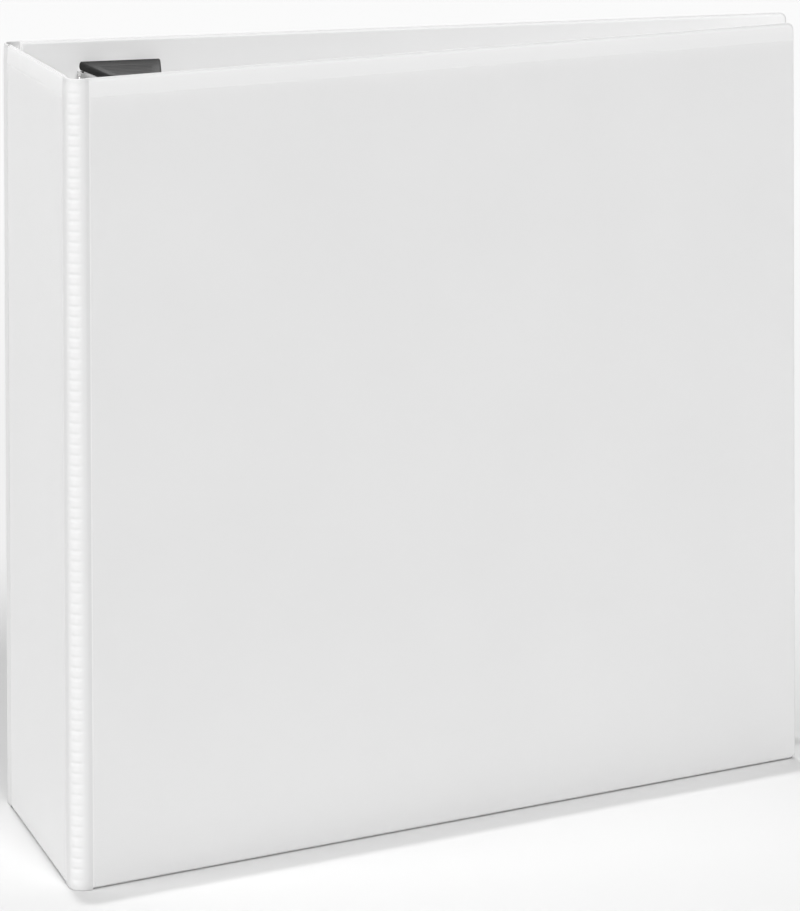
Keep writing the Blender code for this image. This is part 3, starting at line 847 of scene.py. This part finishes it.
def refined(name, node, finish, slot, body, bevel, smooth_under=35):
    """A finer copy of a CAD node: faces merged, sharp edges rounded, shaded smooth."""
    bm = bmesh.new()
    bm.from_mesh(frame["nodes"][node].data)
    bmesh.ops.remove_doubles(bm, verts=bm.verts, dist=0.001 * MM)
    bmesh.ops.dissolve_limit(
        bm, angle_limit=math.radians(0.5), verts=bm.verts, edges=bm.edges, use_dissolve_boundaries=False
    )
    if bevel:
        sharp = [edge for edge in bm.edges if edge.is_manifold and edge.calc_face_angle() > math.radians(40)]
        bmesh.ops.bevel(
            bm, geom=sharp, offset=bevel, segments=2, profile=0.5, affect="EDGES", clamp_overlap=True
        )
    piece = make_object(name, bm, finish, smooth_under)
    stand_for(piece, slot, node)
    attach(piece, body)
    return piece


def rounded_path(corners, steps=14):
    """Points along straight lines between corners (x, y, radius), with an arc at each inner corner."""
    points = [Vector(corners[0][:2])]
    for before, here, after in zip(corners, corners[1:], corners[2:]):
        corner = Vector(here[:2])
        back = (Vector(before[:2]) - corner).normalized()
        onward = (Vector(after[:2]) - corner).normalized()
        half = back.angle(onward) / 2
        distance = here[2] / math.tan(half)
        centre = corner + (back + onward).normalized() * here[2] / math.sin(half)
        first = corner + back * distance - centre
        turn = first.angle_signed(corner + onward * distance - centre)
        for k in range(steps + 1):
            points.append(centre + Matrix.Rotation(-turn * k / steps, 2) @ first)
    points.append(Vector(corners[-1][:2]))
    return points


def ring_path(mechanism, node, side):
    """Centre line of a ring half, from the CAD ring's reach: a bow on the spine side, a post on the other."""
    half = WIRE / 2
    low_x, high_x = mechanism.span(node, mechanism.x)
    root, top = mechanism.span(node, mechanism.y)
    top -= half
    spots = [vertex.co - mechanism.origin for vertex in frame["nodes"][node].data.vertices]
    roots = [spot.dot(mechanism.x) for spot in spots if spot.dot(mechanism.y) < root + 0.1 * MM]
    root_x = (min(roots) + max(roots)) / 2
    stem = [(root_x, root, 0), (root_x, RING_STEM, RING_STEM_BEND)]
    if side > 0:
        bow = high_x - half
        bends = [(bow, RING_BOW_HEIGHT, RING_BOW_RADIUS), (bow, top, RING_BOW_RADIUS)]
        return rounded_path(stem + bends + [(low_x, top, 0)])
    return rounded_path(stem + [(RING_POST, top, RING_STEM_BEND), (high_x, top, 0)])


def tip_stations(side):
    """(distance past the path's end, radius) of the loops that close a ring's tip: a stub or its cup."""
    half = WIRE / 2
    stations = [(-TIP_CHAMFER, half), (0, half - TIP_CHAMFER)]
    if side > 0:
        stations += [(0, TIP_STUB_RADIUS + 0.1 * MM), (TIP_STUB_LENGTH * 0.7, TIP_STUB_RADIUS)]
        stations += [(TIP_STUB_LENGTH, TIP_STUB_RADIUS * 0.6)]
    else:
        stations += [(0, TIP_CUP_RADIUS + 0.1 * MM), (-0.1 * MM, TIP_CUP_RADIUS)]
        stations += [(-TIP_CUP_DEPTH, TIP_CUP_RADIUS)]
    return stations


def add_ring_half(mechanism, label, name, side, body):
    node = f"{label}_ring_{name}"
    path = ring_path(mechanism, node, side)
    height = sum(mechanism.span(node, UP)) / 2
    last = (path[-1] - path[-2]).normalized()
    stations = []
    for k, point in enumerate(path[:-1]):
        back = point - path[k - 1] if k else path[1] - point
        along = (back.normalized() + (path[k + 1] - point).normalized()).normalized()
        stations.append((point, along, WIRE / 2))
    for past, radius in tip_stations(side):
        stations.append((path[-1] + last * past, last, radius))
    bm = bmesh.new()
    loops = []
    for point, along, radius in stations:
        across = Vector((-along.y, along.x))
        loop = []
        for n in range(RING_SIDES):
            angle = 2 * math.pi * n / RING_SIDES
            flat = point + across * radius * math.cos(angle)
            loop.append(bm.verts.new(mechanism.at(flat.x, flat.y, height + radius * math.sin(angle))))
        loops.append(loop)
    for first, second in zip(loops, loops[1:]):
        for k in range(RING_SIDES):
            bm.faces.new((first[k - 1], first[k], second[k], second[k - 1]))
    bm.faces.new(loops[0])
    bm.faces.new(loops[-1])
    ring = make_object(f"{node}_wire", bm, NICKEL, 50)
    stand_for(ring, "nickel_plate", node)
    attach(ring, body)


def grip_section(height, length, half_base, half_tip, faces, side):
    """One cross-section of a thumb grip, as (x, z) points round it, at this height over its base."""
    part = height / length
    half = between(half_base, half_tip, part)
    over = height - (length - GRIP_TIP_RADIUS)
    if over > 0:
        half -= GRIP_TIP_RADIUS - math.sqrt(max(GRIP_TIP_RADIUS**2 - over**2, 0))
    (base_inner, tip_inner), (base_outer, tip_outer) = faces
    inner = between(base_inner, tip_inner, part)
    outer = between(base_outer, tip_outer, part)
    end = min(height, length - height)
    pinch = GRIP_EDGE * (1 - math.sqrt(1 - max(1 - end / GRIP_EDGE, 0) ** 2))
    inner += pinch
    outer -= pinch
    half -= pinch
    middle, thick = (inner + outer) / 2, (outer - inner) / 2
    flat = half - GRIP_EDGE
    points = []
    for k in range(9):
        angle = -math.pi / 2 + math.pi * k / 8
        points.append((flat + GRIP_EDGE * math.cos(angle), middle + thick * math.sin(angle)))
    for k in range(1, 24):
        x = between(flat, -flat, k / 24)
        sunk = smooth_step((flat - abs(x) - GRIP_RECESS_MARGIN) / MM + 1)
        sunk *= smooth_step((height - GRIP_RECESS_START) / MM)
        sunk *= smooth_step((length - GRIP_RECESS_MARGIN - height) / MM)
        rib = max(math.cos(2 * math.pi * (height - GRIP_RECESS_START) / GRIP_RIB_PITCH), 0)
        points.append((x, middle + thick - sunk * (GRIP_RECESS - GRIP_RIB * (1 - rib) ** 2 * 0.6)))
    for k in range(9):
        angle = math.pi / 2 + math.pi * k / 8
        points.append((-flat + GRIP_EDGE * math.cos(angle), middle + thick * math.sin(angle)))
    for k in range(1, 12):
        points.append((between(-flat, flat, k / 12), middle - thick))
    return [(x, side * z) for x, z in points]


def add_grip(mechanism, name, side):
    """A moulded thumb grip: a tapering tab with soft edges and a ribbed hollow for the thumb."""
    node = f"{name}_lever_grip"
    pivot = next(joint for joint in frame["joints"] if joint["name"] == f"{name}_lever_throw")
    origin = Vector(pivot["pos_m"])
    spots = []
    for vertex in frame["nodes"][node].data.vertices:
        spot = vertex.co - origin
        spots.append((spot.dot(mechanism.x), spot.dot(mechanism.y), side * spot.z))
    length = max(y for x, y, z in spots)
    base = [(x, z) for x, y, z in spots if y < 0.01 * MM]
    tip = [(x, z) for x, y, z in spots if y > length - 0.01 * MM]
    faces = (
        (min(z for x, z in base), min(z for x, z in tip)),
        (max(z for x, z in base), max(z for x, z in tip)),
    )
    half_base = max(x for x, z in base)
    half_tip = max(x for x, z in tip) + GRIP_TIP_RADIUS
    heights = [step * MM for step in GRIP_END_ROWS]
    count = int((length - 2 * GRIP_EDGE) / GRIP_ROW)
    heights += [between(GRIP_EDGE, length - GRIP_EDGE, k / count) for k in range(1, count)]
    heights += [length - step * MM for step in reversed(GRIP_END_ROWS)]
    bm = bmesh.new()
    loops = []
    for height in heights:
        section = grip_section(height, length, half_base, half_tip, faces, side)
        loops.append(
            [bm.verts.new(origin + mechanism.x * x + mechanism.y * height + UP * z) for x, z in section]
        )
    for first, second in zip(loops, loops[1:]):
        for k in range(len(first)):
            bm.faces.new((first[k - 1], first[k], second[k], second[k - 1]))
    bm.faces.new(loops[0])
    bm.faces.new(loops[-1])
    grip = make_object(f"{name}_thumb_grip", bm, PLASTIC, 50)
    stand_for(grip, "black_plastic", node)
    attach(grip, f"{name}_lever")


def cut_rivet_holes(mechanism, pieces):
    """Holes through the back cover's sheets for the two rivets."""
    across = mechanism.y.to_track_quat("Z", "Y").to_matrix().to_4x4()
    for label in ("lower", "upper"):
        height = sum(mechanism.span(f"{label}_rivet", UP)) / 2
        place = Matrix.Translation(mechanism.at(0, RIVET_CUTTER_DEPTH, height)) @ across
        for piece in pieces:
            bm = bmesh.new()
            bmesh.ops.create_cone(
                bm,
                cap_ends=True,
                segments=32,
                radius1=RIVET_HOLE,
                radius2=RIVET_HOLE,
                depth=RIVET_CUTTER,
                matrix=place,
            )
            apply_cut(piece, make_object(f"{label}_hole", bm, VINYL))


def add_mechanism(back, sheets):
    mechanism = Mechanism(back)
    cut_rivet_holes(mechanism, sheets)
    refined("plated_housing", "ring_housing", NICKEL, "nickel_plate", back.body, HOUSING_EDGE)
    for label in ("lower", "upper"):
        refined(f"{label}_rivet_turned", f"{label}_rivet", NICKEL, "nickel_plate", back.body, RIVET_EDGE)
    for name in ("spine_side", "fore_edge_side"):
        refined(f"{name}_spring_blade", f"{name}_blade", STEEL, "spring_steel", f"{name}_rings", BLADE_EDGE)
        side = 1 if name == "spine_side" else -1
        for label in ("lower", "middle", "upper"):
            add_ring_half(mechanism, label, name, side, f"{name}_rings")
    for name, side in (("top", 1), ("bottom", -1)):
        refined(f"{name}_arm_stamped", f"{name}_lever_arm", STEEL, "spring_steel", f"{name}_lever", ARM_EDGE)
        refined(f"{name}_pin_turned", f"{name}_lever_pin", STEEL, "spring_steel", back.body, PIN_EDGE)
        add_grip(mechanism, name, side)


# ---------------------------------------------------------------- stage


def add_floor():
    bm = bmesh.new()
    bmesh.ops.create_grid(bm, x_segments=8, y_segments=8, size=FLOOR_SIZE / 2)
    floor = make_object("floor", bm, paper_floor("floor_paper"))
    if floor.data.polygons[0].normal.z < 0:
        floor.data.flip_normals()
    return floor


def add_world():
    """A dim even sky; where it is seen or mirrored, it is as bright as the lit floor."""
    world = bpy.data.worlds.new("studio")
    bpy.context.scene.world = world
    world.use_nodes = True
    nodes, links = world.node_tree.nodes, world.node_tree.links
    rays = nodes.new("ShaderNodeLightPath")
    seen = nodes.new("ShaderNodeMapRange")
    seen.inputs["To Min"].default_value = SKY_LIGHT
    seen.inputs["To Max"].default_value = SKY_SEEN
    shown = nodes.new("ShaderNodeMath")
    shown.operation = "MAXIMUM"
    links.new(rays.outputs["Is Camera Ray"], shown.inputs[0])
    links.new(rays.outputs["Is Glossy Ray"], shown.inputs[1])
    links.new(shown.outputs["Value"], seen.inputs["Value"])
    links.new(seen.outputs["Result"], nodes["Background"].inputs["Strength"])
    nodes["Background"].inputs["Color"].default_value = (1, 1, 1, 1)


def add_sun(name, strength, size, turn):
    """A far lamp of this apparent size in degrees; unturned, it hangs straight above."""
    lamp = bpy.data.lights.new(name, "SUN")
    lamp.energy = strength
    lamp.angle = math.radians(size)
    sun = bpy.data.objects.new(name, lamp)
    sun.rotation_euler = [math.radians(angle) for angle in turn]
    bpy.context.scene.collection.objects.link(sun)
    return sun


def add_lights(floor):
    """A softbox up in front, a fill for the spine, and a small lamp above that throws the short shadow.
    A backlight lights the object's far side, and not the floor, so it throws no shadow forwards."""
    for name, (strength, size, elevation, azimuth) in (("softbox", SOFTBOX), ("fill", FILL)):
        add_sun(name, strength, size, (90 - elevation, 0, -azimuth))
    add_sun("overhead", OVERHEAD_STRENGTH, OVERHEAD_SIZE, (*OVERHEAD_TILT, 0))
    strength, size, elevation, azimuth = BACKLIGHT
    backlight = add_sun("backlight", strength, size, (90 - elevation, 0, -azimuth))
    unlit = bpy.data.collections.new("unlit_from_behind")
    unlit.objects.link(floor)
    unlit.collection_objects[0].light_linking.link_state = "EXCLUDE"
    backlight.light_linking.receiver_collection = unlit


def add_camera():
    """A view camera: nearly level, with its lens shifted down, so upright edges stay upright."""
    data = bpy.data.cameras.new("camera")
    data.sensor_width = SENSOR
    data.lens = FOCAL_LENGTH
    data.clip_end = 50
    camera = bpy.data.objects.new("camera", data)
    bpy.context.scene.collection.objects.link(camera)
    camera.location = CAMERA_PLACE
    aim = Euler((math.pi / 2 - CAMERA_PITCH, 0, CAMERA_YAW)).to_matrix()
    camera.rotation_euler = (aim @ Matrix.Rotation(CAMERA_ROLL, 3, "Z")).to_euler()
    driver = data.driver_add("shift_y").driver
    driver.type = "SCRIPTED"
    place = driver.variables.new()
    place.name = "x"
    place.type = "TRANSFORMS"
    place.targets[0].id = camera
    place.targets[0].transform_type = "LOC_X"
    low, high = CAMERA_PLACE[0] - 0.1 * MM, CAMERA_PLACE[0] + 0.1 * MM
    driver.expression = f"{CAMERA_SHIFT} if x > {low:.6f} and x < {high:.6f} else 0"
    bpy.context.scene.camera = camera


def main():
    spine = Panel("spine", "spine", (0, 1, 0))
    front = Panel("front", "front_cover", (1, 0, 0))
    back = Panel("back", "back_cover", (1, 0, 0))
    add_panel(spine)
    add_panel(front)
    sheets = add_panel(back)[:4]
    for cover in (front, back):
        add_hinge_film(spine, cover)
    add_mechanism(back, sheets)
    floor = add_floor()
    add_world()
    add_lights(floor)
    add_camera()
    bpy.context.scene.view_settings.view_transform = "Standard"


main()
